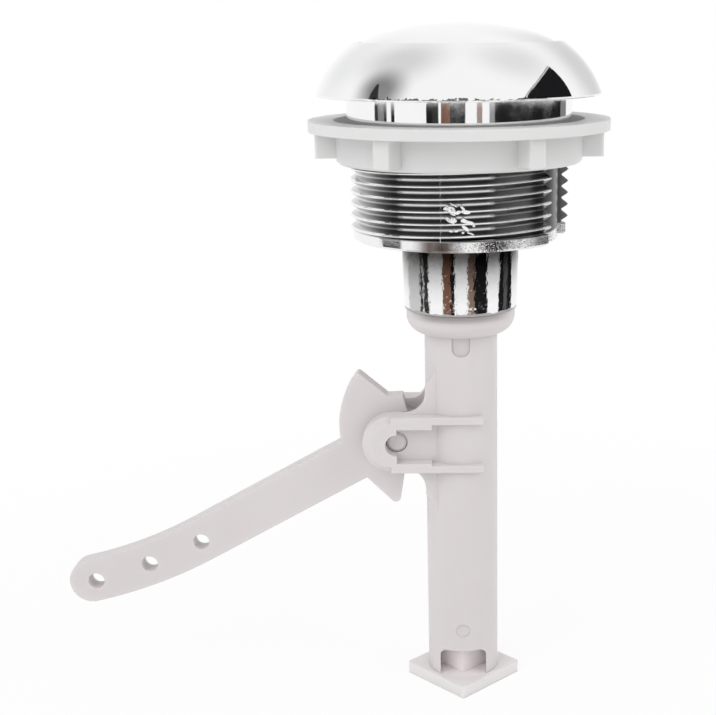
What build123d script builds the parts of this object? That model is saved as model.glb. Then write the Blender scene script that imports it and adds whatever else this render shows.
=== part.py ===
from build123d import *
from math import atan, cos, degrees, radians, sin, sqrt, tan
import os

# Push button cistern actuator for a hole in the cistern lid, in millimetres.
# Origin on the button's axis in the plane where the bezel sits on the lid, +Z up.
# The outlet lever points to -X, and its pivot pin runs along Y.

# Bezel and neck of the threaded body
bezel_radius = 23.2
bezel_height = 8.4
bezel_edge = 0.35
bezel_bow = 0.78
bezel_lip = 0.55
bezel_relief_inner = 20.0
bezel_relief_width = 1.2
bezel_relief_depth = 2.2
neck_radius = 18.4
neck_length = 5.0

# Threaded sleeve, its two side reliefs and the barrel below it
thread_crest_radius = 18.2
thread_root_radius = 17.15
thread_pitch = 1.94
thread_lowest = -20.12
thread_turns = 8
thread_crest_flat = 0.14
thread_root_flat = 0.22
thread_overlap = 0.1
thread_arc = 165.0
band_radius = 17.8
band_top = -21.35
sleeve_bottom = -23.2
sleeve_chamfer = 0.35
relief_radius = 16.2
relief_width = 12.8
relief_turn = -16.5
chamber_radius = 13.9
chamber_floor_thickness = 1.4
barrel_top_radius = 9.85
barrel_end_radius = 9.5
barrel_bottom = -35.1

# Domed button
button_radius = 16.2
button_apex = 11.4
button_shoulder = 10.1
button_shoulder_radius = 11.3
button_edge = 8.05
button_wall = 1.3
button_skirt = 4.4
button_gap = 0.25
boss_wall = 1.8
boss_bottom = -2.0
rod_top = 5.2
end_gap = 0.05
well_spare = 0.5

# Lock nut
nut_top = -3.8
nut_flange_radius = 24.7
nut_flange_thickness = 1.77
nut_recess_radius = 20.5
nut_recess_depth = 1.3
nut_skirt_radius = 20.2
nut_bottom = -10.75
nut_edge_round = 0.4
nut_lug_count = 6
nut_lug_reach = 23.7
nut_lug_width = 2.9
nut_lug_bottom = -10.05
thread_clearance = 0.08

# Stem: snap spigot, collar and tube
spigot_radius = 7.6
spigot_bore_radius = 5.6
spigot_slit = 1.4
spigot_slit_depth = 7.0
barb_step = 0.7
barb_rise = 1.9
swivel_clearance = 0.06
snap_gap = 0.1
collar_radius = 9.2
collar_band = 1.2
tube_radius = 6.2
tube_bore_radius = 4.45
tube_bottom = -101.3
guide_bottom = -49.3
mark_width = 3.0
mark_height = 3.3
mark_depth = 0.6
mark_round = 1.35
dimple_radius = 1.2
dimple_height = -92.4
dimple_depth = 0.25
arch_width = 8.1
arch_height = 5.0
arch_round = 1.4

# Lever bracket on the stem
pivot_x = -11.1
pivot_z = -57.9
near_ear_top = -53.0
far_ear_top = -52.3
ear_bottom = -62.75
ear_gap = 6.0
ear_web = 1.6
ear_rim = 2.3
ear_end_x = -12.0
ear_end_chamfer = 1.1
ear_bend_top = -49.5
ear_lower_fillet = 3.5
gusset_flat = 1.1
gusset_rise = 3.6
gusset_reach = 2.3
rib_width = 1.25
rib_end_round = 0.4
rib_ear_top_width = 2.1
rib_ear_bottom_width = 1.65
rib_ear_end_x = -5.0
rib_end_x = 3.8
pocket_start_x = -11.0
slot_top = -49.6
slot_bottom = -63.9

# Lever with its stop fan, and the pivot pin
lever_thickness = 3.0
hub_radius = 4.6
hub_side_gap = 0.15
tongue_length = 11.1
tongue_width = 2.4
nose_radius = 1.9
lever_swing = 37.5
arm_half_width = 3.9
arm_bend = (-46.0, -76.85)
arm_tip = (-66.0, -84.4)
hole_radius = 1.42
hole_places = [(-65.16, -84.35), (-55.48, -81.2), (-46.1, -77.1)]
fan_centre = (-5.6, -55.8)
fan_radius = 15.5
fan_arc_end = (-20.0, -61.5)
fan_upper_tip = (-17.7, -46.35)
fan_lower_tip = (-10.97, -70.8)
fan_lower_root = (-17.4, -64.4)
fan_inner_edge = (-9.3, -60.2)
hub_block = [(-8.8, -55.0), (-10.1, -50.5), (-12.65, -50.6)]
fan_upper_round = 0.45
fan_lower_round = 0.9
pin_radius = 1.8
pin_clearance = 0.05
pin_chamfer = 0.52
pin_proud = 0.1

# Push rod, return spring and foot plug
rod_radius = 3.5
rod_web = 1.6
rod_head_length = 8.0
rod_clearance = 0.1
slider_length = 9.8
window_clearance = 0.12
window_far_x = 2.2
window_flare_x = -1.0
window_flare_angle = 20.0
spring_spigot_radius = 2.3
spring_spigot_length = 4.0
spring_wire_radius = 0.5
spring_radius = 3.4
spring_turns = 6.0
spring_end_gap = 0.05
foot_side = 14.2
foot_thickness = 2.1
foot_corner_round = 0.35
post_top = -89.5
post_clearance = 0.05

# Worked-out sizes
stroke = 2 * tongue_length * sin(radians(lever_swing / 2))
well_radius = button_radius + button_gap
lip_outer_radius = well_radius + bezel_lip
skirt_bottom = button_edge - button_skirt
well_floor = skirt_bottom - stroke - well_spare
chamber_floor = sleeve_bottom + chamber_floor_thickness
barrel_bore_radius = spigot_radius + swivel_clearance
slider_top = guide_bottom - end_gap
slider_bottom = slider_top - slider_length
slider_radius = tube_bore_radius - rod_clearance
guide_radius = rod_radius + rod_clearance
spring_top = slider_bottom - spring_end_gap
spring_bottom = post_top + spring_end_gap
post_side = sqrt(2) * (tube_bore_radius - post_clearance)
collar_top = barrel_bottom - snap_gap
collar_round = collar_radius - tube_radius
collar_bottom = collar_top - collar_band - collar_round
ear_inner = ear_gap / 2
ear_web_outer = ear_inner + ear_web
ear_rim_outer = ear_web_outer + ear_rim
thread_tilt = degrees(atan(thread_pitch / 4 / thread_crest_radius))
rest_tilt = lever_swing / 2
nose_x = pivot_x + tongue_length * cos(radians(rest_tilt))
nose_z = pivot_z + tongue_length * sin(radians(rest_tilt))


def bowed_point(start, end, bow):
    """Point a small distance off the middle of a chord, to its right-hand side."""
    chord = Vector(end[0] - start[0], end[1] - start[1])
    normal = Vector(chord.Y, -chord.X).normalized()
    return (start[0] + chord.X / 2 + normal.X * bow, start[1] + chord.Y / 2 + normal.Y * bow)


# Threaded body: bezel, neck, sleeve and barrel in one moulding
with BuildPart() as threaded_body:
    with BuildSketch(Plane.XZ):
        with BuildLine():
            lip_edge = (lip_outer_radius, bezel_height)
            foot_edge = (bezel_radius, bezel_edge)
            ThreePointArc(foot_edge, bowed_point(foot_edge, lip_edge, bezel_bow), lip_edge)
            Polyline(
                lip_edge,
                (well_radius, bezel_height),
                (well_radius, well_floor),
                (chamber_radius, well_floor),
                (chamber_radius, chamber_floor),
                (barrel_bore_radius, chamber_floor),
                (barrel_bore_radius, barrel_bottom),
                (barrel_end_radius, barrel_bottom),
                (barrel_top_radius, sleeve_bottom),
                (band_radius - sleeve_chamfer, sleeve_bottom),
                (band_radius, sleeve_bottom + sleeve_chamfer),
                (band_radius, band_top),
                (thread_root_radius, band_top),
                (thread_root_radius, -neck_length),
                (neck_radius, -neck_length),
                (neck_radius, 0),
                (bezel_radius, 0),
                foot_edge,
            )
        make_face()
    revolve(axis=Axis.Z)
    with BuildSketch(Plane.XY):
        Circle(bezel_relief_inner + bezel_relief_width)
        Circle(bezel_relief_inner, mode=Mode.SUBTRACT)
    extrude(amount=bezel_relief_depth, mode=Mode.SUBTRACT)

    # Thread: between the reliefs each half turn lies nearly in a plane, tilted to the helix
    ridge_half = (thread_pitch - thread_root_flat) / 2
    flank_slope = (ridge_half - thread_crest_flat / 2) / (thread_crest_radius - thread_root_radius)
    sunk_half = ridge_half + thread_overlap * flank_slope
    front, back = -1, 1
    for half in (front, back):
        start = relief_turn + half * (180 - thread_arc) / 2
        for ridge in range(thread_turns):
            height = thread_lowest + (ridge + half / 4) * thread_pitch
            ring = Plane((0, 0, height)).rotated((0, half * thread_tilt, 0))
            ring_axis = Axis(ring.origin, ring.z_dir)
            outward = ring.x_dir.rotate(ring_axis, start)
            with BuildSketch(Plane(ring.origin, x_dir=outward, z_dir=outward.cross(ring.z_dir))):
                with BuildLine():
                    Polyline(
                        (thread_root_radius - thread_overlap, sunk_half),
                        (thread_crest_radius, thread_crest_flat / 2),
                        (thread_crest_radius, -thread_crest_flat / 2),
                        (thread_root_radius - thread_overlap, -sunk_half),
                        close=True,
                    )
                make_face()
            revolve(axis=ring_axis, revolution_arc=half * thread_arc)

    with BuildSketch(Plane.XY.offset(sleeve_bottom)):
        Circle(neck_radius)
        Circle(relief_radius, mode=Mode.SUBTRACT)
        Rectangle(2 * neck_radius, relief_width, rotation=relief_turn, mode=Mode.INTERSECT)
    extrude(amount=-neck_length - sleeve_bottom, mode=Mode.SUBTRACT)
threaded_body.part.label = "threaded_body"

# Domed button: thin shell with a guiding skirt and a socket for the push rod
with BuildPart() as button_dome:
    boss_radius = guide_radius + boss_wall
    with BuildSketch(Plane.XZ):
        with BuildLine():
            crown = TangentArc(
                (0, button_apex), (button_shoulder_radius, button_shoulder), tangent=(1, 0)
            )
            TangentArc(crown @ 1, (button_radius, button_edge), tangent=crown % 1)
            Polyline(
                (button_radius, button_edge),
                (button_radius, skirt_bottom),
                (boss_radius, skirt_bottom),
                (boss_radius, boss_bottom),
                (0, boss_bottom),
                (0, button_apex),
            )
        make_face()
    revolve(axis=Axis.Z)
    with BuildSketch(Plane.XZ):
        with BuildLine():
            ceiling = TangentArc(
                (0, button_apex - button_wall),
                (button_shoulder_radius, button_shoulder - button_wall),
                tangent=(1, 0),
            )
            TangentArc(ceiling @ 1, (button_radius, button_edge - button_wall), tangent=ceiling % 1)
            Polyline(
                (button_radius, button_edge - button_wall),
                (button_radius, skirt_bottom),
                (0, skirt_bottom),
                (0, button_apex - button_wall),
            )
        make_face()
        with Locations((boss_radius, skirt_bottom)):
            Rectangle(
                button_radius - button_wall - boss_radius,
                button_apex - skirt_bottom,
                align=(Align.MIN, Align.MIN),
                mode=Mode.INTERSECT,
            )
    revolve(axis=Axis.Z, mode=Mode.SUBTRACT)
    with BuildSketch(Plane.XY.offset(boss_bottom)):
        Circle(guide_radius)
    extrude(amount=rod_top + end_gap - boss_bottom, mode=Mode.SUBTRACT)
button_dome.part.label = "button_dome"

# Lock nut: flanged ring with six grip lugs on its skirt
with BuildPart() as lock_nut:
    nut_bore_radius = thread_crest_radius + thread_clearance
    flange_underside = nut_top - nut_flange_thickness
    lug_root_radius = (nut_bore_radius + nut_skirt_radius) / 2
    with BuildSketch(Plane.XZ):
        with BuildLine():
            Polyline(
                (nut_recess_radius, nut_top),
                (nut_flange_radius, nut_top),
                (nut_flange_radius, flange_underside),
                (nut_skirt_radius, flange_underside),
                (nut_skirt_radius, nut_bottom + nut_edge_round),
                (nut_skirt_radius - nut_edge_round, nut_bottom),
                (nut_bore_radius, nut_bottom),
                (nut_bore_radius, nut_top - nut_recess_depth),
                (nut_recess_radius, nut_top - nut_recess_depth),
                close=True,
            )
        make_face()
    revolve(axis=Axis.Z)
    with BuildSketch(Plane.XY.offset(nut_lug_bottom)):
        with PolarLocations(lug_root_radius, nut_lug_count):
            Rectangle(nut_lug_reach - lug_root_radius, nut_lug_width, align=(Align.MIN, Align.CENTER))
    extrude(amount=flange_underside - nut_lug_bottom)
    lug_edges = lock_nut.edges().filter_by(Axis.Z).filter_by(
        lambda line: Vector(line.center().X, line.center().Y).length > nut_skirt_radius + nut_edge_round
    )
    fillet(lug_edges, nut_edge_round)
lock_nut.part.label = "lock_nut"

# Stem: swivelling snap spigot, collar, tube and the two-eared lever bracket
with BuildPart() as stem_tube:
    barb_base = chamber_floor + snap_gap
    with BuildSketch(Plane.XZ):
        with BuildLine():
            Polyline(
                (tube_radius, collar_bottom),
                (tube_radius, tube_bottom),
                (0, tube_bottom),
                (0, collar_bottom + collar_round),
                (spigot_bore_radius, collar_bottom + collar_round),
                (spigot_bore_radius, barb_base + barb_rise),
                (spigot_radius - barb_step, barb_base + barb_rise),
                (spigot_radius + barb_step, barb_base),
                (spigot_radius, barb_base),
                (spigot_radius, collar_top),
                (collar_radius, collar_top),
                (collar_radius, collar_bottom + collar_round),
            )
            TangentArc(
                (collar_radius, collar_bottom + collar_round), (tube_radius, collar_bottom), tangent=(0, -1)
            )
        make_face()
    revolve(axis=Axis.Z)
    with BuildSketch(Plane.XY.offset(barb_base + barb_rise)):
        Rectangle(2 * collar_radius, spigot_slit)
        Rectangle(spigot_slit, 2 * collar_radius)
    extrude(amount=-spigot_slit_depth, mode=Mode.SUBTRACT)

    for ear_top, web_start, rim_start, outer_y in (
        (near_ear_top, ear_inner, ear_inner, -ear_rim_outer),
        (far_ear_top, -ear_web_outer, -ear_rim_outer, ear_rim_outer),
    ):
        wall_x = -tube_radius
        inside_x = wall_x + gusset_reach
        upper_fillet_x = wall_x - (ear_bend_top - ear_top)
        lower_fillet_x = wall_x - ear_lower_fillet
        lower_bend_z = ear_bottom - ear_lower_fillet
        end_radius = (ear_top - ear_bottom) / 2
        middle_z = (ear_top + ear_bottom) / 2
        with BuildSketch(Plane.XZ.offset(web_start)):
            with BuildLine():
                Polyline(
                    (inside_x, lower_bend_z - gusset_flat - gusset_rise),
                    (inside_x, ear_bend_top + gusset_flat + gusset_rise),
                    (wall_x, ear_bend_top + gusset_flat),
                    (wall_x, ear_bend_top),
                )
                TangentArc((wall_x, ear_bend_top), (upper_fillet_x, ear_top), tangent=(0, -1))
                Line((upper_fillet_x, ear_top), (ear_end_x, ear_top))
                ThreePointArc(
                    (ear_end_x, ear_top), (ear_end_x - end_radius, middle_z), (ear_end_x, ear_bottom)
                )
                Line((ear_end_x, ear_bottom), (lower_fillet_x, ear_bottom))
                TangentArc((lower_fillet_x, ear_bottom), (wall_x, lower_bend_z), tangent=(1, 0))
                Polyline(
                    (wall_x, lower_bend_z),
                    (wall_x, lower_bend_z - gusset_flat),
                    (inside_x, lower_bend_z - gusset_flat - gusset_rise),
                )
            make_face()
        extrude(amount=ear_web)

        with BuildSketch(Plane.XZ.offset(rim_start)) as rim_outline:
            with Locations((ear_end_x, middle_z)):
                Circle(end_radius)
            with Locations((pocket_start_x, middle_z)):
                Rectangle(
                    end_radius, 2 * end_radius, align=(Align.MIN, Align.CENTER), mode=Mode.SUBTRACT
                )
            with Locations((ear_end_x, ear_top)):
                Rectangle(rib_end_x - ear_end_x, rib_width, align=(Align.MIN, Align.MAX))
                Rectangle(rib_ear_end_x - ear_end_x, rib_ear_top_width, align=(Align.MIN, Align.MAX))
            with Locations((ear_end_x, ear_bottom)):
                Rectangle(rib_end_x - ear_end_x, rib_width, align=(Align.MIN, Align.MIN))
                Rectangle(rib_ear_end_x - ear_end_x, rib_ear_bottom_width, align=(Align.MIN, Align.MIN))
            with Locations(((ear_end_x + pocket_start_x) / 2, middle_z)):
                Rectangle(pocket_start_x - ear_end_x, 2 * end_radius)
            rib_middle_x = rib_end_x - rib_width / 2
            fillet(rim_outline.vertices().filter_by(lambda corner: corner.X > rib_middle_x), rib_end_round)
        extrude(amount=ear_web + ear_rim)
        with BuildSketch(Plane.YZ.offset(ear_end_x)):
            with Locations((outer_y, ear_top)):
                Rectangle(sqrt(2) * ear_end_chamfer, sqrt(2) * ear_end_chamfer, rotation=45)
        revolve(axis=Axis((ear_end_x, 0, middle_z), (0, -1, 0)), revolution_arc=180, mode=Mode.SUBTRACT)

    with BuildSketch(Plane.XZ):
        with Locations((pivot_x, pivot_z)):
            Circle(pin_radius + pin_clearance)
    extrude(amount=ear_rim_outer, both=True, mode=Mode.SUBTRACT)
    with BuildSketch(Plane.XY.offset(tube_bottom)):
        Circle(tube_bore_radius)
    extrude(amount=guide_bottom - tube_bottom, mode=Mode.SUBTRACT)
    with BuildSketch(Plane.XY.offset(guide_bottom)):
        Circle(guide_radius)
    extrude(amount=collar_top - guide_bottom, mode=Mode.SUBTRACT)
    with BuildSketch(Plane.YZ.offset(-tube_radius)):
        with Locations((0, (slot_top + slot_bottom) / 2)):
            Rectangle(ear_gap, slot_top - slot_bottom)
    extrude(amount=tube_radius, mode=Mode.SUBTRACT)
    with BuildSketch(Plane.XZ):
        with Locations((0, tube_bottom)):
            Rectangle(arch_width, arch_height, align=(Align.CENTER, Align.MIN))
        fillet(vertices().group_by(Axis.Y)[-1], arch_round)
    extrude(amount=tube_radius, both=True, mode=Mode.SUBTRACT)
    with BuildSketch(Plane.XZ.offset(tube_radius - mark_depth)):
        with Locations((0, collar_bottom)):
            Rectangle(mark_width, mark_height, align=(Align.CENTER, Align.MAX))
        fillet(vertices().group_by(Axis.Y)[0], mark_round)
    extrude(amount=mark_depth, mode=Mode.SUBTRACT)
    with BuildSketch(Plane.XZ.offset(tube_radius - dimple_depth)):
        with Locations((0, dimple_height)):
            Circle(dimple_radius)
    extrude(amount=dimple_depth, mode=Mode.SUBTRACT)
stem_tube.part.label = "stem_tube"

# Push rod: round head, ribbed shank and a slider with the window that drives the lever
with BuildPart() as push_rod:
    with BuildSketch(Plane.XY.offset(rod_top)):
        Circle(rod_radius)
    extrude(amount=-rod_head_length)
    with BuildSketch(Plane.XY.offset(rod_top - rod_head_length)):
        Rectangle(2 * rod_radius, rod_web)
        Rectangle(rod_web, 2 * rod_radius)
        Circle(rod_radius, mode=Mode.INTERSECT)
    extrude(amount=slider_top - rod_top + rod_head_length)
    with BuildSketch(Plane.XY.offset(slider_top)):
        Circle(slider_radius)
    extrude(amount=-slider_length)
    with BuildSketch(Plane.XY.offset(slider_bottom)):
        Circle(spring_spigot_radius)
    extrude(amount=-spring_spigot_length)
    chamfer(push_rod.edges().sort_by(Axis.Z)[0], spring_wire_radius)
    with BuildSketch(Plane.XZ):
        window_half = nose_radius + window_clearance
        flare_half = window_half + (window_flare_x + tube_bore_radius) * tan(radians(window_flare_angle))
        with BuildLine():
            Polyline(
                (window_far_x, nose_z - window_half),
                (window_far_x, nose_z + window_half),
                (window_flare_x, nose_z + window_half),
                (-tube_bore_radius, nose_z + flare_half),
                (-tube_bore_radius, nose_z - flare_half),
                (window_flare_x, nose_z - window_half),
                close=True,
            )
        make_face()
    extrude(amount=lever_thickness / 2 + window_clearance, both=True, mode=Mode.SUBTRACT)
push_rod.part.label = "push_rod"

# Return spring between the slider and the foot plug
with BuildPart() as return_spring:
    helix_height = spring_top - spring_bottom - 2 * spring_wire_radius
    with BuildLine():
        coil = Helix(
            pitch=helix_height / spring_turns,
            height=helix_height,
            radius=spring_radius,
            center=(0, 0, spring_bottom + spring_wire_radius),
        )
    with BuildSketch(Plane(coil @ 0, z_dir=coil % 0)):
        Circle(spring_wire_radius)
    sweep(path=coil, is_frenet=True)
return_spring.part.label = "return_spring"

# Foot plug: square plate and a square post that stands in the tube, corner forwards
with BuildPart() as foot_plug:
    with BuildSketch(Plane.XY.offset(tube_bottom)):
        RectangleRounded(foot_side, foot_side, foot_corner_round, rotation=45)
    extrude(amount=-foot_thickness)
    with BuildSketch(Plane.XY.offset(tube_bottom)):
        Rectangle(post_side, post_side, rotation=45)
    extrude(amount=post_top - tube_bottom)
    with BuildSketch(Plane.XY.offset(post_top)):
        Circle(spring_spigot_radius)
    extrude(amount=spring_spigot_length)
    chamfer(foot_plug.edges().sort_by(Axis.Z)[-1], spring_wire_radius)
foot_plug.part.label = "foot_plug"

# Lever: cranked arm with three hook holes, stop fan, hub and driving tongue
with BuildPart() as lever_arm:
    with BuildSketch(Plane.XZ):
        with BuildLine():
            fan_side = (fan_centre[0] - fan_radius, fan_centre[1])
            ThreePointArc(fan_upper_tip, fan_side, fan_arc_end)
            Polyline(fan_arc_end, fan_lower_root, fan_lower_tip, fan_inner_edge, *hub_block, fan_upper_tip)
        make_face()
        fillet(vertices().sort_by_distance(fan_upper_tip)[0], fan_upper_round)
        fillet(vertices().sort_by_distance(fan_lower_tip)[0], fan_lower_round)
        with BuildLine():
            straight = Line((pivot_x, pivot_z), arm_bend)
            TangentArc(arm_bend, arm_tip, tangent=straight % 1)
        trace(line_width=2 * arm_half_width)
        with Locations(arm_tip):
            Circle(arm_half_width)
        with Locations((pivot_x, pivot_z)):
            Circle(hub_radius)
        with BuildLine():
            Line((pivot_x, pivot_z), (nose_x, nose_z))
        trace(line_width=tongue_width)
        with Locations((nose_x, nose_z)):
            Circle(nose_radius)
    extrude(amount=lever_thickness / 2, both=True)
    with BuildSketch(Plane.XZ):
        with Locations((pivot_x, pivot_z)):
            Circle(hub_radius)
    extrude(amount=ear_inner - hub_side_gap, both=True)
    with BuildSketch(Plane.XZ):
        with Locations((pivot_x, pivot_z)):
            Circle(pin_radius)
        with Locations(*hole_places):
            Circle(hole_radius)
    extrude(amount=ear_inner, both=True, mode=Mode.SUBTRACT)
lever_arm.part.label = "lever_arm"

# Pivot pin through both ears and the lever's hub
with BuildPart() as pivot_pin:
    with BuildSketch(Plane.XZ):
        with Locations((pivot_x, pivot_z)):
            Circle(pin_radius)
    extrude(amount=ear_web_outer + pin_proud, both=True)
    chamfer(pivot_pin.edges(), pin_chamfer)
pivot_pin.part.label = "pivot_pin"

os.makedirs("parts", exist_ok=True)
for piece in (
    threaded_body, button_dome, lock_nut, stem_tube, push_rod, return_spring, foot_plug, lever_arm, pivot_pin
):
    export_step(piece.part, f"parts/{piece.part.label}.step")
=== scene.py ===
import bmesh
import bpy
from math import asin, cos, pi, radians, sin, tan
from mathutils import Matrix, Vector, noise
from random import Random


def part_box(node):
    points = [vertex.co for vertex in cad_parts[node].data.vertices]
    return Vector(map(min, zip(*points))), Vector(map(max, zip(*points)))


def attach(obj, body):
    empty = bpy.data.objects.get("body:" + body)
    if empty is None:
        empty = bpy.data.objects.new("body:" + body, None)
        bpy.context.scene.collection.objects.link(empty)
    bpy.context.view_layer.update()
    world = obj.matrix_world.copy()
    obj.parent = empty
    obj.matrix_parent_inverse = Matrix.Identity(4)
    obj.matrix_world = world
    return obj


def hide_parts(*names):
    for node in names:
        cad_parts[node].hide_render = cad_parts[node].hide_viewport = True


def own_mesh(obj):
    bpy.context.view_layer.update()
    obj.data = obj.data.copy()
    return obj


# Push button cistern actuator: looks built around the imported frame.
# Lengths are in millimetres where MM turns them into the frame's metres.
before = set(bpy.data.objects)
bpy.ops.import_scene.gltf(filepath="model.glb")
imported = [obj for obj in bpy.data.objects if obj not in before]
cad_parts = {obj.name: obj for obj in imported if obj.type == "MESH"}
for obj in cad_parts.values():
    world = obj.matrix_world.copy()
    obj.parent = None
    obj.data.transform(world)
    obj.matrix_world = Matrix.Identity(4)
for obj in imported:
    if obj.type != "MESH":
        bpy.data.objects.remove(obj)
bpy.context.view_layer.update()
MM = 0.001

# Camera, fitted to the photograph
photo_width = 716
camera_focal_px = 1300
camera_axis_px = 461
camera_place = Vector((0, -216, 10.8)) * MM
camera_tilt = 14.3
camera_roll = 0.45
sensor_width = 36
clip_near = 0.01
clip_far = 20

# Studio lamps: place and aim in metres, size, and power
lamps = [
    ("key", (-0.5, -0.5, 0.5), (0, 0, -0.05), 0.6, 2.4),
    ("front", (0.05, -0.8, 0.05), (0, 0, -0.08), 0.5, 0.25),
    ("fill", (0.7, -0.2, 0.42), (0, 0, -0.05), 0.6, 1.8),
]

# World: plain light, and soft greys as azimuth, elevation, inner and outer size, and value
world_light = 0.72
soft_greys = [
    (-100, 60, 0.10, 0.60, 0.72),
    (-76, 36, 0.10, 0.46, 0.28),
    (100, 62, 0.05, 0.55, 0.80),
    (-140, 30, 0.10, 0.50, 0.90),
    (146, 18, 0.10, 0.60, 0.70),
]
seen_kinds = ("Is Camera Ray", "Is Glossy Ray", "Is Transmission Ray")

# Floor: its level, its size, and how white it looks near the foot plate, where it keeps the shadow
floor_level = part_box("foot_plug")[0].z / MM
floor_reach = 6000
floor_white = 0.88
floor_shadow_reach = 30
floor_white_reach = 220

# Colours that the cards show
black = (0.012, 0.012, 0.013)
dark = (0.035, 0.034, 0.033)
brown = (0.20, 0.10, 0.065)
band_brown = (0.30, 0.20, 0.17)
tan_brown = (0.24, 0.17, 0.13)
pale_brown = (0.36, 0.27, 0.23)
deep_grey = (0.10, 0.10, 0.10)
grey = (0.22, 0.22, 0.22)
mid_grey = (0.30, 0.30, 0.30)
thread_grey_right = (0.36, 0.36, 0.36)
thread_grey_left = (0.45, 0.45, 0.45)
pale_grey = (0.62, 0.62, 0.62)

# Cards round the stage: least step between columns in degrees, and the line above the bezel's right corner
card_step = 5
line_gap = 10
line_height = 10

# Colours of the looks
tint_low = (0.88, 0.88, 0.885, 1)
tint_high = (0.94, 0.94, 0.94, 1)
# Black that the plating's colour fades to under the painted shade in the grooves
painted_shade_black = (0, 0, 0, 1)
full_light = (1, 1, 1, 1)
floor_grey = (0.9, 0.9, 0.9, 1)
steel_grey = (0.62, 0.61, 0.6, 1)
# Brown of the painted shade across the band's front
painted_shade_brown = (0.09, 0.06, 0.05, 1)
# Colour of the painted shade at the barrel's top, under the sleeve
barrel_shade_colour = (0.06, 0.055, 0.052, 1)
bare_plastic = (0.42, 0.40, 0.40, 1)
speck_brown = (0.30, 0.26, 0.24, 1)
# Colour of the painted shade on the stem's collar under the barrel
collar_dark = (0.34, 0.305, 0.305, 1)
nut_pale, nut_dark = (0.72, 0.72, 0.715, 1), (0.69, 0.69, 0.69, 1)
# The third colour of the stem and of the foot plug is painted light inside the stem's foot
stem_pale, stem_dark, stem_foot_painted_light = (0.70, 0.66, 0.665, 1), (0.67, 0.63, 0.636, 1), (0.95, 0.91, 0.91, 1)
# The foot plug's colours are a paler copy of the stem's white plastic, as painted light
foot_pale_painted_light, foot_dark_painted_light, foot_post_painted_light = (0.80, 0.775, 0.775, 1), (0.77, 0.745, 0.745, 1), (0.84, 0.79, 0.79, 1)

# Looks: rounding of the edges, painted shade of the plating on the torn flakes and in the grooves, and the
# plastic's depth
bevel_samples = 6
plating_edge = 0.13
plastic_edge = 0.22
groove_shade = 0.16
torn_shade = 0.9
relief_shade = 0.10
groove_roughness = 0.28
bead_darkness = 0.85
plastic_through = 0.35

# Thread, band and barrel of the sleeve, as in the frame
thread_start = -5.0
thread_crest = 18.2
thread_root = 17.15
thread_pitch = 1.94
thread_lowest = -20.12
thread_turns = 8
thread_crest_flat = 0.14
thread_root_flat = 0.22
band_radius = 17.8
band_top = -21.35
relief_radius = 16.2
sleeve_bottom = -23.2
plating_end = -34.75

# Soft edges of the plating's parts: how far each one reaches from its place
thread_fade = 0.4
band_fade = 0.3
bottom_fade = 0.1
barrel_above = 0.04
barrel_below = 0.02
bare_start = 0.55
bare_full = 0.4

# Where the painted brightness changes by radius, inside the thread's root and inside its crest, and where
# the painted highlight line along the root is still full and where it ends, outside the root
relief_margin = 0.2
groove_margin = 0.1
crest_dull = 0.26
crest_bright = 0.14
root_line_full = 0.06
root_line_end = 0.16

# Painted light: how much lighter the thread's grooves and roots are, across the front from left to right
painted_groove_light = [
    (-18, 0.5), (-15, 0.4), (-12.6, 0.14), (-10.5, 0), (4, 0), (6.5, 0.18),
    (11, 0.18), (12, 0), (15.8, 0), (16.4, 0.28), (18.3, 0.28),
]
painted_root_highlight = [(-18, 0.1), (-9.9, 0.1), (-9.4, 0.6), (5.1, 0.6), (5.6, 0), (18, 0)]

# Across the front, the brown painted shade on the band and the share of its plating that is pitted
band_painted_shade = [
    (-18, 0), (-7.6, 0.05), (-6.6, 0.32), (-5.7, 0.74), (-4.8, 0.95), (-3.8, 0.86), (-2.9, 0.92),
    (-2.0, 0.84), (-1.1, 0.52), (-0.2, 0.38), (0.8, 0), (18, 0),
]
band_pits = [
    (-18, 0), (2.2, 0), (3.0, 0.3), (3.8, 0.6), (5.2, 1), (6.2, 0.65), (7.4, 0.2), (8.6, 0), (18, 0),
]
pit_share = 0.24
pits_start = -5
pits_full = -1
pits_least = 0.15

# Painted shade on the barrel's plating: its share by height, from its lower end up to the sleeve
barrel_shade = [(-32.8, 0.0), (-30.4, 0.16), (-27.9, 0.48), (-25.9, 0.84), (-24.8, 0.97)]

# Shade on the stem's collar under the barrel, by height and across the front, and where it may start
collar_shade = [(-37.0, 0), (-36.5, 0.12), (-36.1, 0.6), (-35.7, 0.95), (-34.9, 1)]
collar_reach = [
    (-8.5, 0), (-7, 0.35), (-5.7, 0.85), (-4.5, 1), (3, 0.92), (5, 0.8), (6, 0.7), (7.2, 0.3), (8.5, 0),
]
collar_highest = -30
collar_fade = 1

# Painted light inside the stem's foot, paler as if lit through the thin wall
foot_radius = 6.15
foot_side_fade = 0.15
foot_top = -95.5
foot_top_fade = 1

# Mould seam on the front of the thread, at an angle from +X towards +Y
seam_angle = -99.8
seam_width = 0.22
seam_height = 0.06
seam_root = 0.1
seam_band_gap = 0.05
seam_end_gap = 0.35

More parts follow.
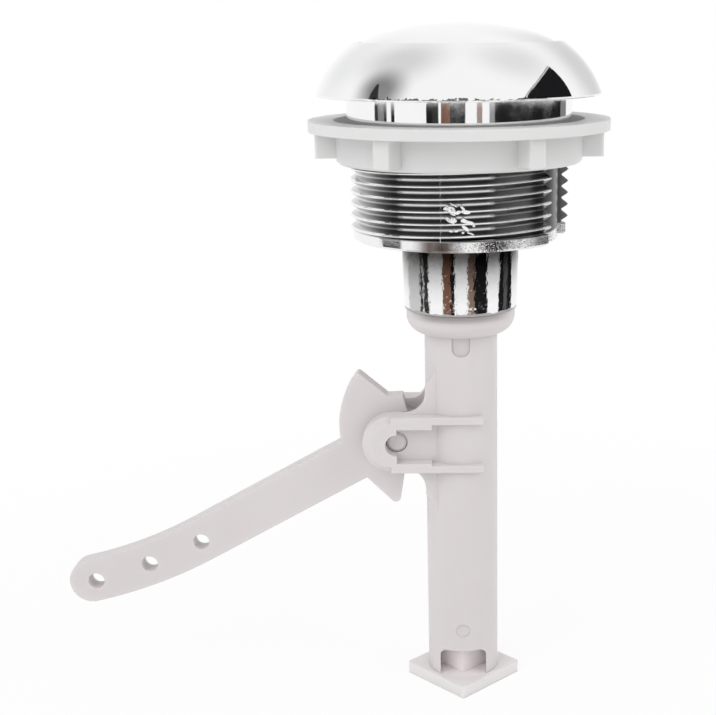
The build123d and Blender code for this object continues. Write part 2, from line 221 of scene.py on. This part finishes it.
# Lifted flakes of plating on the thread: across and up, half width, half height, and lean in degrees
flakes = [
    (-1.95, -16.15, 0.42, 0.26, 12),
    (-1.30, -16.38, 0.46, 0.30, -10),
    (-1.12, -16.98, 0.34, 0.20, -30),
    (-0.96, -15.65, 0.55, 0.08, -28),
    (-0.36, -16.81, 0.42, 0.20, 12),
    (0.41, -16.11, 0.36, 0.15, -35),
    (0.86, -16.73, 0.56, 0.24, -4),
    (-1.62, -18.03, 0.60, 0.18, -30),
    (-0.95, -17.96, 0.40, 0.26, -12),
    (0.70, -18.11, 0.42, 0.22, -6),
    (1.55, -18.42, 0.50, 0.22, -12),
    (2.15, -18.83, 0.16, 0.22, 0),
    (0.85, -19.25, 0.58, 0.19, -38),
    (-1.38, -19.69, 0.27, 0.13, 0),
    (-0.54, -19.64, 0.25, 0.15, 10),
    (0.46, -19.91, 0.16, 0.12, 0),
    (1.62, -20.06, 0.45, 0.09, -20),
]
flake_seed = 7
flake_depth = 0.26
flake_sink = 0.06
flake_proud = 0.03
flake_scale = 1.3
flake_swell = 0.45
flake_swell_scale = 1.7
flake_fold = 0.10
flake_fold_scale = 2.6
noise_spread = 50

# Return spring between the rod's slider and the foot plug
spring_radius = 3.4
spring_wire = 0.5
spring_turns = 6.0
spring_low = -89.45
spring_high = -59.2
spring_closed_turns = 0.9
spring_coil_rise = 1.02
spring_sides = 10
spring_steps = 36

# Creases that stay sharp, in degrees
crease_angle = 35
small_crease_angle = 30


def mesh_piece(name, points, faces, body, material, crease):
    """A smooth mesh from points in millimetres, riding on a body, with its steeper creases kept sharp."""
    mesh = bpy.data.meshes.new(name)
    mesh.from_pydata([Vector(p) * MM for p in points], [], faces)
    mesh.validate()
    obj = bpy.data.objects.new(name, mesh)
    bpy.context.scene.collection.objects.link(obj)
    editable = bmesh.new()
    editable.from_mesh(mesh)
    bmesh.ops.recalc_face_normals(editable, faces=editable.faces)
    editable.to_mesh(mesh)
    editable.free()
    mesh.polygons.foreach_set("use_smooth", [True] * len(mesh.polygons))
    mesh.set_sharp_from_angle(angle=radians(crease))
    mesh.update()
    mesh.materials.append(material)
    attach(obj, body)
    return obj


class Graph:
    """Nodes of one material or of the world, with the coordinates that they start from."""

    def __init__(self, tree, coordinates="Object"):
        self.nodes = tree.nodes
        self.links = tree.links
        self.place = self.add("ShaderNodeTexCoord").outputs[coordinates]

    def add(self, kind, **settings):
        node = self.nodes.new(kind)
        for key, value in settings.items():
            setattr(node, key, value)
        return node

    def feed(self, socket, value):
        if isinstance(value, bpy.types.NodeSocket):
            self.links.new(value, socket)
        else:
            socket.default_value = value

    def noise(self, scale, detail=2.0, stretch=None):
        """Noise between 0 and 1, with its scale per metre."""
        node = self.add("ShaderNodeTexNoise")
        place = self.place
        if stretch:
            mapping = self.add("ShaderNodeMapping")
            mapping.inputs["Scale"].default_value = stretch
            self.feed(mapping.inputs["Vector"], self.place)
            place = mapping.outputs["Vector"]
        self.feed(node.inputs["Vector"], place)
        node.inputs["Scale"].default_value = scale
        node.inputs["Detail"].default_value = detail
        return node.outputs["Fac"]

    def ramp(self, value, low, high, start=0.0, end=1.0, smooth=True):
        """From start to end as the value goes from low to high."""
        node = self.add("ShaderNodeMapRange")
        node.interpolation_type = "SMOOTHSTEP" if smooth else "LINEAR"
        self.feed(node.inputs["Value"], value)
        node.inputs["From Min"].default_value = low
        node.inputs["From Max"].default_value = high
        node.inputs["To Min"].default_value = start
        node.inputs["To Max"].default_value = end
        return node.outputs["Result"]

    def span(self, value, low, high, start=0.0, end=1.0):
        """Ramp between two places in millimetres."""
        return self.ramp(value, low * MM, high * MM, start, end)

    def math(self, operation, first, second=0.0):
        node = self.add("ShaderNodeMath", operation=operation)
        self.feed(node.inputs[0], first)
        self.feed(node.inputs[1], second)
        return node.outputs["Value"]

    def product(self, first, *others):
        for other in others:
            first = self.math("MULTIPLY", first, other)
        return first

    def invert(self, value):
        return self.math("SUBTRACT", 1.0, value)

    def wander(self, value, scale, detail, reach):
        """The value shifted by noise that reaches so many millimetres."""
        return self.math("ADD", value, self.product(self.noise(scale, detail), reach * MM))

    def mix(self, amount, first, second):
        node = self.add("ShaderNodeMix", data_type="RGBA")
        self.feed(node.inputs["Factor"], amount)
        self.feed(node.inputs["A"], first)
        self.feed(node.inputs["B"], second)
        return node.outputs["Result"]

    def rounded(self, radius):
        """Normal that rounds the edges by so many millimetres."""
        node = self.add("ShaderNodeBevel", samples=bevel_samples)
        node.inputs["Radius"].default_value = radius * MM
        return node.outputs["Normal"]

    def bump(self, height, strength, depth, after=None):
        """Normal of a relief so many millimetres deep."""
        node = self.add("ShaderNodeBump")
        self.feed(node.inputs["Height"], height)
        node.inputs["Strength"].default_value = strength
        node.inputs["Distance"].default_value = depth * MM
        if after:
            self.feed(node.inputs["Normal"], after)
        return node.outputs["Normal"]

    def coordinate(self, axis):
        node = self.add("ShaderNodeSeparateXYZ")
        self.feed(node.inputs["Vector"], self.place)
        return node.outputs[axis]

    def distance(self, point):
        node = self.add("ShaderNodeVectorMath", operation="DISTANCE")
        self.feed(node.inputs[0], self.place)
        node.inputs[1].default_value = point
        return node.outputs["Value"]

    def radius(self):
        """Distance from the button's axis."""
        flat = self.add("ShaderNodeVectorMath", operation="MULTIPLY")
        self.feed(flat.inputs[0], self.place)
        flat.inputs[1].default_value = (1, 1, 0)
        length = self.add("ShaderNodeVectorMath", operation="LENGTH")
        self.feed(length.inputs[0], flat.outputs["Vector"])
        return length.outputs["Value"]

    def profile(self, value, stops):
        """Broken line through stops of a place in millimetres and a result."""
        low, high = stops[0][0], stops[-1][0]
        node = self.add("ShaderNodeValToRGB")
        self.feed(node.inputs["Fac"], self.ramp(value, low * MM, high * MM, smooth=False))
        elements = node.color_ramp.elements
        while len(elements) < len(stops):
            elements.new(0.5)
        for element, (at, result) in zip(elements, stops):
            element.position = (at - low) / (high - low)
            element.color = (result, result, result, 1)
        return node.outputs["Color"]

    def ray_kinds(self, *names):
        """One when the ray is any of the named kinds."""
        path = self.add("ShaderNodeLightPath")
        total = path.outputs[names[0]]
        for name in names[1:]:
            total = self.math("MAXIMUM", total, path.outputs[name])
        return total

    def blend_shaders(self, amount, first, second, target):
        mix = self.add("ShaderNodeMixShader")
        self.feed(mix.inputs[0], amount)
        self.feed(mix.inputs[1], first.outputs[0])
        self.feed(mix.inputs[2], second.outputs[0])
        self.feed(target, mix.outputs[0])


class Look(Graph):
    """A material with one Principled shader."""

    def __init__(self, name):
        self.material = bpy.data.materials.new(name)
        self.material.use_nodes = True
        super().__init__(self.material.node_tree)
        self.shader = self.nodes["Principled BSDF"]
        self.surface = self.nodes["Material Output"].inputs["Surface"]

    def set(self, **values):
        for key, value in values.items():
            self.feed(self.shader.inputs[key.replace("_", " ")], value)
        return self.material


def painted_groove_shade(g, height, across, below_thread, shade):
    """Painted shade and light on the plating: darker in the thread's grooves, with painted lighter parts and
    painted highlight lines along the roots.
    """
    radius = g.radius()
    below_neck = g.span(height, thread_start, thread_start - thread_fade)
    on_thread = g.product(below_neck, g.invert(below_thread))
    grooves = g.profile(radius, [
        (relief_radius, relief_shade),
        (thread_root - relief_margin, relief_shade),
        (thread_root - groove_margin, shade),
        (thread_crest - crest_dull, shade),
        (thread_crest - crest_bright, 1.0),
    ])
    at_root = g.profile(radius, [
        (thread_root - relief_margin, 0.0),
        (thread_root - groove_margin, 1.0),
        (thread_root + root_line_full, 1.0),
        (thread_root + root_line_end, 0.0),
    ])
    # Painted highlight lines along the roots, and the grooves painted lighter towards the sides
    root_lines = g.product(at_root, g.profile(across, painted_root_highlight))
    lightened = g.math("ADD", g.profile(across, painted_groove_light), root_lines)
    return g.invert(g.product(on_thread, g.invert(g.math("ADD", grooves, lightened))))


def droplets(g, height, across):
    """Dark beads along the bezel's lower edge, on its front."""
    beads = g.span(g.wander(height, scale=1100, detail=2.0, reach=1.5), low=1.22, high=1.12)
    above_edge = g.span(height, low=0.22, high=0.30)
    in_front = g.span(g.math("ABSOLUTE", across), low=14, high=12.5)
    return g.product(beads, g.product(above_edge, in_front), bead_darkness)


def plating_relief(g, on_barrel, pitted):
    """Rounded edges, slow waves, a fine ripple, an uneven barrel and a pitted band."""
    waves = g.bump(g.noise(scale=75), strength=0.05, depth=0.4, after=g.rounded(plating_edge))
    fine = g.noise(scale=900, detail=3.0, stretch=(1.0, 1.0, 0.4))
    ripple = g.bump(fine, strength=0.05, depth=0.05, after=waves)
    worn = g.product(g.noise(scale=1100, detail=3.0, stretch=(1.0, 1.0, 0.6)), on_barrel)
    uneven = g.bump(worn, strength=0.7, depth=0.06, after=ripple)
    pits = g.product(g.noise(scale=4200), pitted)
    return g.bump(pits, strength=0.8, depth=0.05, after=uneven)


def plating(name, shade):
    """Chrome: painted shade and a rougher finish in the grooves, brown painted shade and pits on the band,
    painted shade at the barrel's top end and bare at its lower end.
    """
    g = Look(name)
    height = g.coordinate("Z")
    across = g.coordinate("X")
    below_thread = g.span(height, band_top, band_top - band_fade)
    above_bottom = g.span(height, sleeve_bottom - bottom_fade, sleeve_bottom + bottom_fade)
    on_band = g.product(below_thread, above_bottom)
    on_barrel = g.span(height, sleeve_bottom + barrel_above, sleeve_bottom - barrel_below)

    pitted = g.product(on_band, g.span(across, pits_start, pits_full, start=pits_least))
    blots = g.product(g.profile(across, band_pits), pit_share)
    speckles = g.math("SUBTRACT", g.noise(scale=6500, detail=1.0), blots)
    grains = g.product(g.ramp(speckles, low=0.27, high=0.45, start=1.0, end=0.0), pitted)
    # Painted shade: the plating is darker in the thread's grooves and relief
    brightness = painted_groove_shade(g, height, across, below_thread, shade)
    painted_light_and_marks = g.math("SUBTRACT", g.math("SUBTRACT", brightness, grains), droplets(g, height, across))

    # The plating's colour goes to black where the painted shade is deep
    groove_shaded = g.mix(painted_light_and_marks, painted_shade_black, g.mix(g.noise(scale=60), tint_low, tint_high))
    # Painted shade, brownish, across the front of the band
    band_shaded = g.mix(g.product(on_band, g.profile(across, band_painted_shade)), groove_shaded, painted_shade_brown)
    ragged = g.wander(height, scale=900, detail=3.0, reach=0.9)
    # Painted shade on the barrel, deepest at its top under the sleeve
    shaded = g.mix(g.product(g.profile(ragged, barrel_shade), on_barrel), band_shaded, barrel_shade_colour)
    bare = g.span(ragged, plating_end + bare_start, plating_end + bare_full)
    colour = g.mix(bare, shaded, bare_plastic)

    polished = g.ramp(g.noise(scale=260, detail=3.0), low=0.35, high=0.75, start=0.03, end=0.075)
    dulled = g.ramp(brightness, low=0.35, high=0.9, start=1.0, end=0.0)
    roughness = g.math("MAXIMUM", polished, g.product(dulled, groove_roughness))
    metal = g.ramp(bare, low=0.0, high=1.0, start=1.0, end=0.0)
    relief = plating_relief(g, on_barrel, pitted)
    return g.set(Base_Color=colour, Metallic=metal, Roughness=roughness, Normal=relief)


def plastic(name, pale, dark, foot, roughness, depth):
    """White moulded plastic with rounded edges, faint flow marks, a few specks, a satin skin, painted shade
    on the collar under the barrel and painted light inside the stem's foot.
    """
    g = Look(name)
    height = g.coordinate("Z")
    flow = g.ramp(g.noise(scale=28, detail=3.0, stretch=(1.0, 1.0, 0.35)), low=0.3, high=0.72)
    # Painted light: a paler colour inside the stem's foot
    low_down = g.span(height, foot_top, foot_top - foot_top_fade)
    within = g.span(g.radius(), foot_radius, foot_radius - foot_side_fade)
    lit = g.mix(g.product(low_down, within), g.mix(flow, dark, pale), foot)

    # Painted shade on the stem's collar under the barrel
    on_collar = g.product(g.profile(height, collar_shade), g.profile(g.coordinate("X"), collar_reach))
    under_barrel = g.product(on_collar, g.span(height, collar_highest, collar_highest - collar_fade))
    shaded = g.mix(under_barrel, lit, collar_dark)

    cells = g.add("ShaderNodeTexVoronoi")
    g.feed(cells.inputs["Vector"], g.place)
    cells.inputs["Scale"].default_value = 160
    near = g.ramp(cells.outputs["Distance"], low=0.035, high=0.055, start=1.0, end=0.0)
    chosen = g.ramp(g.noise(scale=45, detail=0.0), low=0.66, high=0.68)
    colour = g.mix(g.product(near, chosen), shaded, speck_brown)

    skin = g.ramp(g.noise(scale=170, detail=3.0), 0.3, 0.7, start=roughness - 0.05, end=roughness + 0.07)
    waves = g.bump(g.noise(scale=120), strength=0.05, depth=0.2, after=g.rounded(plastic_edge))
    grain = g.bump(g.noise(scale=2600), strength=0.05, depth=0.03, after=waves)
    g.set(Subsurface_Weight=plastic_through, Subsurface_Radius=(1.0, 0.93, 0.9), Subsurface_Scale=depth * MM)
    return g.set(Base_Color=colour, Roughness=skin, Normal=grain, IOR=1.5)


def spring_steel():
    """Drawn stainless wire."""
    g = Look("spring_steel")
    drawn = g.bump(g.noise(scale=900, stretch=(1.0, 1.0, 6.0)), strength=0.1, depth=0.02)
    roughness = g.ramp(g.noise(scale=400), low=0.3, high=0.7, start=0.22, end=0.34)
    return g.set(Base_Color=steel_grey, Metallic=1.0, Roughness=roughness, Normal=drawn)


chrome = plating("chrome_plate", groove_shade)
torn_chrome = plating("torn_chrome", torn_shade)
nut_white = plastic("nut_plastic", nut_pale, nut_dark, nut_pale, roughness=0.38, depth=2.5)
stem_white = plastic("white_plastic", stem_pale, stem_dark, stem_foot_painted_light, roughness=0.42, depth=1.5)
# Paler copy of the white plastic for the foot plug, as painted light
foot_white_painted_light = plastic("foot_plastic_painted_light", foot_pale_painted_light, foot_dark_painted_light, foot_post_painted_light, roughness=0.42, depth=1.5)
wire_steel = spring_steel()

looks = {
    "threaded_body": chrome,
    "button_dome": chrome,
    "lock_nut": nut_white,
    "stem_tube": stem_white,
    "push_rod": stem_white,
    "return_spring": wire_steel,
    "foot_plug": foot_white_painted_light,
    "lever_arm": stem_white,
    "pivot_pin": stem_white,
}
for node, look in looks.items():
    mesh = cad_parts[node].data
    mesh.materials.clear()
    mesh.materials.append(look)


def make_seam():
    """Thin moulding seam that follows the ridges of the thread down to the sleeve's end."""
    angle = radians(seam_angle)
    half = thread_pitch / 2 - thread_root_flat / 2
    outline = []
    for ridge in reversed(range(thread_turns)):
        crest = thread_lowest + (ridge + seam_angle / 360) * thread_pitch
        outline += [
            (thread_root, crest + half),
            (thread_crest, crest + thread_crest_flat / 2),
            (thread_crest, crest - thread_crest_flat / 2),
            (thread_root, crest - half),
        ]
    outline[-1] = (band_radius, band_top + seam_band_gap)
    outline.append((band_radius, sleeve_bottom + seam_end_gap))
    out = Vector((cos(angle), sin(angle), 0))
    side = Vector((-sin(angle), cos(angle), 0))
    section = ((-seam_width / 2, -seam_root), (0, seam_height), (seam_width / 2, -seam_root))
    points, faces = [], []
    for radius, z in outline:
        for across, proud in section:
            points.append(out * (radius + proud) + side * across + Vector((0, 0, z)))
    for i in range(len(outline) - 1):
        a = 3 * i
        faces += [(a, a + 1, a + 4, a + 3), (a + 1, a + 2, a + 5, a + 4), (a + 2, a, a + 3, a + 5)]
    last = 3 * (len(outline) - 1)
    faces += [(2, 1, 0), (last, last + 1, last + 2)]
    mesh_piece("mould_seam", points, faces, "body", torn_chrome, small_crease_angle)


def make_crumple():
    """Lifted plating: small folded flakes that lie across the ridges of the thread."""
    chance = Random(flake_seed)
    points, faces = [], []
    for across, z, half_width, half_height, lean in flakes:
        angle = radians(-90) + asin(across / thread_crest)
        out = Vector((cos(angle), sin(angle), 0))
        side = Vector((-sin(angle), cos(angle), 0))
        centre = out * (thread_crest - flake_sink) + Vector((0, 0, z))
        turn = radians(lean)
        length = side * cos(turn) + Vector((0, 0, sin(turn)))
        width = Vector((0, 0, cos(turn))) - side * sin(turn)
        seed = Vector([chance.uniform(0, noise_spread) for _ in range(3)])
        flake = bmesh.new()
        bmesh.ops.create_icosphere(flake, subdivisions=3, radius=1)
        base = len(points)
        for vertex in flake.verts:
            co = vertex.co * (1 + flake_swell * noise.noise(vertex.co * flake_swell_scale + seed))
            fold = flake_fold * noise.noise(co * flake_fold_scale + seed)
            shape = (length * co.x * half_width + width * co.y * half_height) * flake_scale
            lift = min(co.z * flake_depth + fold, flake_sink + flake_proud - abs(fold))
            points.append(centre + shape + out * lift)
        faces += [tuple(base + v.index for v in face.verts) for face in flake.faces]
        flake.free()
    mesh_piece("crumpled_plating", points, faces, "body", torn_chrome, small_crease_angle)


def make_spring():
    """Compression spring with closed end coils, as a tube mesh."""
    turns = spring_turns + 2 * spring_closed_turns
    rows = int(turns * spring_steps)
    low = spring_low + spring_wire
    high = spring_high - spring_wire
    closed_rise = 2 * spring_wire * spring_closed_turns * spring_coil_rise
    open_rise = high - low - 2 * closed_rise

    def height(t):
        if t < spring_closed_turns:
            return low + closed_rise * t / spring_closed_turns
        if t > turns - spring_closed_turns:
            return high - closed_rise * (turns - t) / spring_closed_turns
        return low + closed_rise + open_rise * (t - spring_closed_turns) / spring_turns

    points, faces = [], []
    for i in range(rows + 1):
        t = turns * i / rows
        angle = 2 * pi * t
        out = Vector((cos(angle), sin(angle), 0))
        for j in range(spring_sides):
            turn = 2 * pi * j / spring_sides
            point = out * (spring_radius + spring_wire * cos(turn))
            point.z = height(t) + spring_wire * sin(turn)
            points.append(tuple(point))
    for i in range(rows):
        for j in range(spring_sides):
            a = i * spring_sides + j
            b = i * spring_sides + (j + 1) % spring_sides
            faces.append((a, b, b + spring_sides, a + spring_sides))
    faces.append(tuple(range(spring_sides)))
    faces.append(tuple(rows * spring_sides + spring_sides - 1 - j for j in range(spring_sides)))
    spring = mesh_piece("spring_coil", points, faces, "stem", wire_steel, crease_angle)
    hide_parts("return_spring")
    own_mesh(spring)


make_seam()
make_crumple()
make_spring()


def make_camera():
    """Camera that sees the part as the photograph does."""
    data = bpy.data.cameras.new("camera")
    data.sensor_fit = "HORIZONTAL"
    data.sensor_width = sensor_width
    data.lens = camera_focal_px / photo_width * data.sensor_width
    data.shift_x = (photo_width / 2 - camera_axis_px) / photo_width
    data.clip_start = clip_near
    data.clip_end = clip_far
    camera = bpy.data.objects.new("camera", data)
    bpy.context.scene.collection.objects.link(camera)
    tilt = Matrix.Rotation(radians(90 - camera_tilt), 4, "X")
    roll = Matrix.Rotation(radians(-camera_roll), 4, "Z")
    camera.matrix_world = Matrix.Translation(camera_place) @ tilt @ roll
    bpy.context.scene.camera = camera


def toward(azimuth, height, reach=1.0):
    """Point at a height and a reach, at an azimuth in degrees from the front to the right."""
    a = radians(azimuth)
    return Vector((sin(a) * reach, -cos(a) * reach, height))


def make_world():
    """White studio: plain light, white to the eye, with faint soft greys for reflections only."""
    world = bpy.data.worlds.new("world")
    bpy.context.scene.world = world
    world.use_nodes = True
    g = Graph(world.node_tree, "Generated")
    lit = g.nodes["Background"]
    lit.inputs["Color"].default_value = full_light
    lit.inputs["Strength"].default_value = world_light
    shade = 1.0
    for azimuth, elevation, inner, outer, value in soft_greys:
        centre = toward(azimuth, tan(radians(elevation))).normalized()
        shade = g.product(shade, g.ramp(g.distance(centre), inner, outer, value, 1.0))
    seen = g.add("ShaderNodeBackground")
    seen.inputs["Color"].default_value = full_light
    white = g.ray_kinds("Is Camera Ray", "Is Transmission Ray")
    g.feed(seen.inputs["Strength"], g.math("MAXIMUM", shade, white))
    g.blend_shaders(g.ray_kinds(*seen_kinds), lit, seen, g.nodes["World Output"].inputs["Surface"])


def stage_mesh(name, points, faces, material):
    """A mesh of the studio from points in millimetres."""
    mesh = bpy.data.meshes.new(name)
    mesh.from_pydata([Vector(p) * MM for p in points], [], faces)
    mesh.materials.append(material)
    obj = bpy.data.objects.new(name, mesh)
    bpy.context.scene.collection.objects.link(obj)
    return obj


def make_floor():
    """Pale floor just under the foot plate, white to the eye far off but keeping the shadow near by."""
    g = Look("studio_floor")
    g.set(Base_Color=floor_grey, Roughness=0.9)
    glow = g.add("ShaderNodeEmission")
    away = g.distance((0, 0, floor_level * MM))
    share = g.span(away, floor_shadow_reach, floor_white_reach, floor_white, 1.0)
    g.blend_shaders(g.product(g.ray_kinds(*seen_kinds), share), g.shader, glow, g.surface)
    signs = ((-1, -1), (1, -1), (1, 1), (-1, 1))
    corners = [(x * floor_reach, y * floor_reach, floor_level) for x, y in signs]
    stage_mesh("floor", corners, [(0, 1, 2, 3)], g.material)


def columns_card(name, columns, colour, reach):
    """Card round the stage that only reflections see: azimuth and height of each column's foot and head."""
    g = Look(name)
    glow = g.add("ShaderNodeEmission")
    glow.inputs["Color"].default_value = (*colour, 1)
    g.feed(g.surface, glow.outputs[0])
    points = []
    for low_azimuth, low, high_azimuth, high in columns:
        points += [toward(low_azimuth, low, reach), toward(high_azimuth, high, reach)]
    faces = [(2 * i, 2 * i + 2, 2 * i + 3, 2 * i + 1) for i in range(len(columns) - 1)]
    card = stage_mesh(name, points, faces, g.material)
    card.visible_camera = False
    card.visible_diffuse = False
    card.visible_shadow = False
    card.visible_transmission = False
    card.visible_volume_scatter = False


def ring(low, high, reach, cards):
    """Cards at one height and reach: name, left and right azimuth, and colour."""
    for name, left, right, colour in cards:
        steps = max(1, int((right - left) / card_step))
        azimuths = [left + (right - left) * i / steps for i in range(steps + 1)]
        columns_card(name, [(a, low, a, high) for a in azimuths], colour, reach)


def lamp(name, place, aim, size, power):
    """Square lamp that only lights, and isn't seen or reflected."""
    data = bpy.data.lights.new(name, "AREA")
    data.shape = "SQUARE"
    data.size = size
    data.energy = power
    light = bpy.data.objects.new(name, data)
    bpy.context.scene.collection.objects.link(light)
    light.location = place
    light.rotation_mode = "QUATERNION"
    light.rotation_quaternion = (Vector(aim) - Vector(place)).to_track_quat("-Z", "Y")
    light.visible_glossy = False
    light.visible_camera = False


make_camera()
make_world()
make_floor()
for name, place, aim, size, power in lamps:
    lamp(name, place, aim, size, power)

# Far cards: what the neck shows
ring(low=-60, high=-33, reach=600, cards=[
    ("far_left_a", -92, -87.5, black),
    ("far_left_b", -87.5, -79.5, grey),
    ("far_left_c", -79.5, -76, black),
    ("far_left_d", -70.5, -66.5, black),
    ("far_front_a", -32, -26, black),
    ("far_front_b", -26, -20, dark),
    ("far_front_c", -17.5, -9, brown),
    ("far_front_d", -9, 6, black),
    ("far_front_e", 17, 22.5, pale_brown),
    ("far_front_f", 29.5, 35, mid_grey),
    ("far_right", 35, 122, black),
    ("far_right_rim", 122, 136, grey),
])
ring(low=-100, high=-20, reach=400, cards=[("back", 168, 190, black)])

# High cards: the dark corners of the bezel, by azimuth and height of each column's foot and head
left_corner = [(-79, 230, -83, 500), (-64, 230, -81, 508)]
right_corner = [
    (50, 150, 50, 310),
    (58, 150, 58, 375),
    (66, 150, 66, 440),
    (73, 150, 73, 484),
    (83, 150, 83, 528),
    (93, 150, 93, 556),
    (101, 150, 106, 560),
    (101.5, 150, 112, 548),
]
right_line = [
    (azimuth, top + line_gap, azimuth, top + line_gap + line_height)
    for _, _, azimuth, top in right_corner[1:]
]
columns_card("bezel_left", left_corner, dark, reach=600)
columns_card("bezel_right", right_corner, black, reach=600)
columns_card("bezel_right_line", right_line, black, reach=600)

# Near cards: what the thread's crests and roots, the band and the barrel show
ring(low=-66, high=-30, reach=300, cards=[
    ("thread_left", -92, -63, thread_grey_left),
    ("thread_right", 32, 135, thread_grey_right),
])
ring(low=-88, high=-67, reach=300, cards=[
    ("band_left", -88, -63, dark),
    ("band_brown", -27, -17, band_brown),
    ("band_dark", -17, -7, dark),
    ("band_spots", 36, 52, dark),
    ("band_right", 84, 120, dark),
])
ring(low=-101, high=-70, reach=228, cards=[
    ("barrel_left_grey", -126, -87, pale_grey),
    ("barrel_left_a", -87, -80, dark),
    ("barrel_left_b", -78, -66, dark),
    ("barrel_brown", -35, -19, brown),
    ("barrel_black", -19, -11, black),
    ("barrel_tan", 14, 27, tan_brown),
    ("barrel_mid", 27, 54, black),
    ("barrel_right_a", 82, 95, black),
    ("barrel_right_b", 95, 107, deep_grey),
    ("barrel_right_c", 107, 122, black),
])

scene = bpy.context.scene
scene.view_settings.view_transform = "Standard"
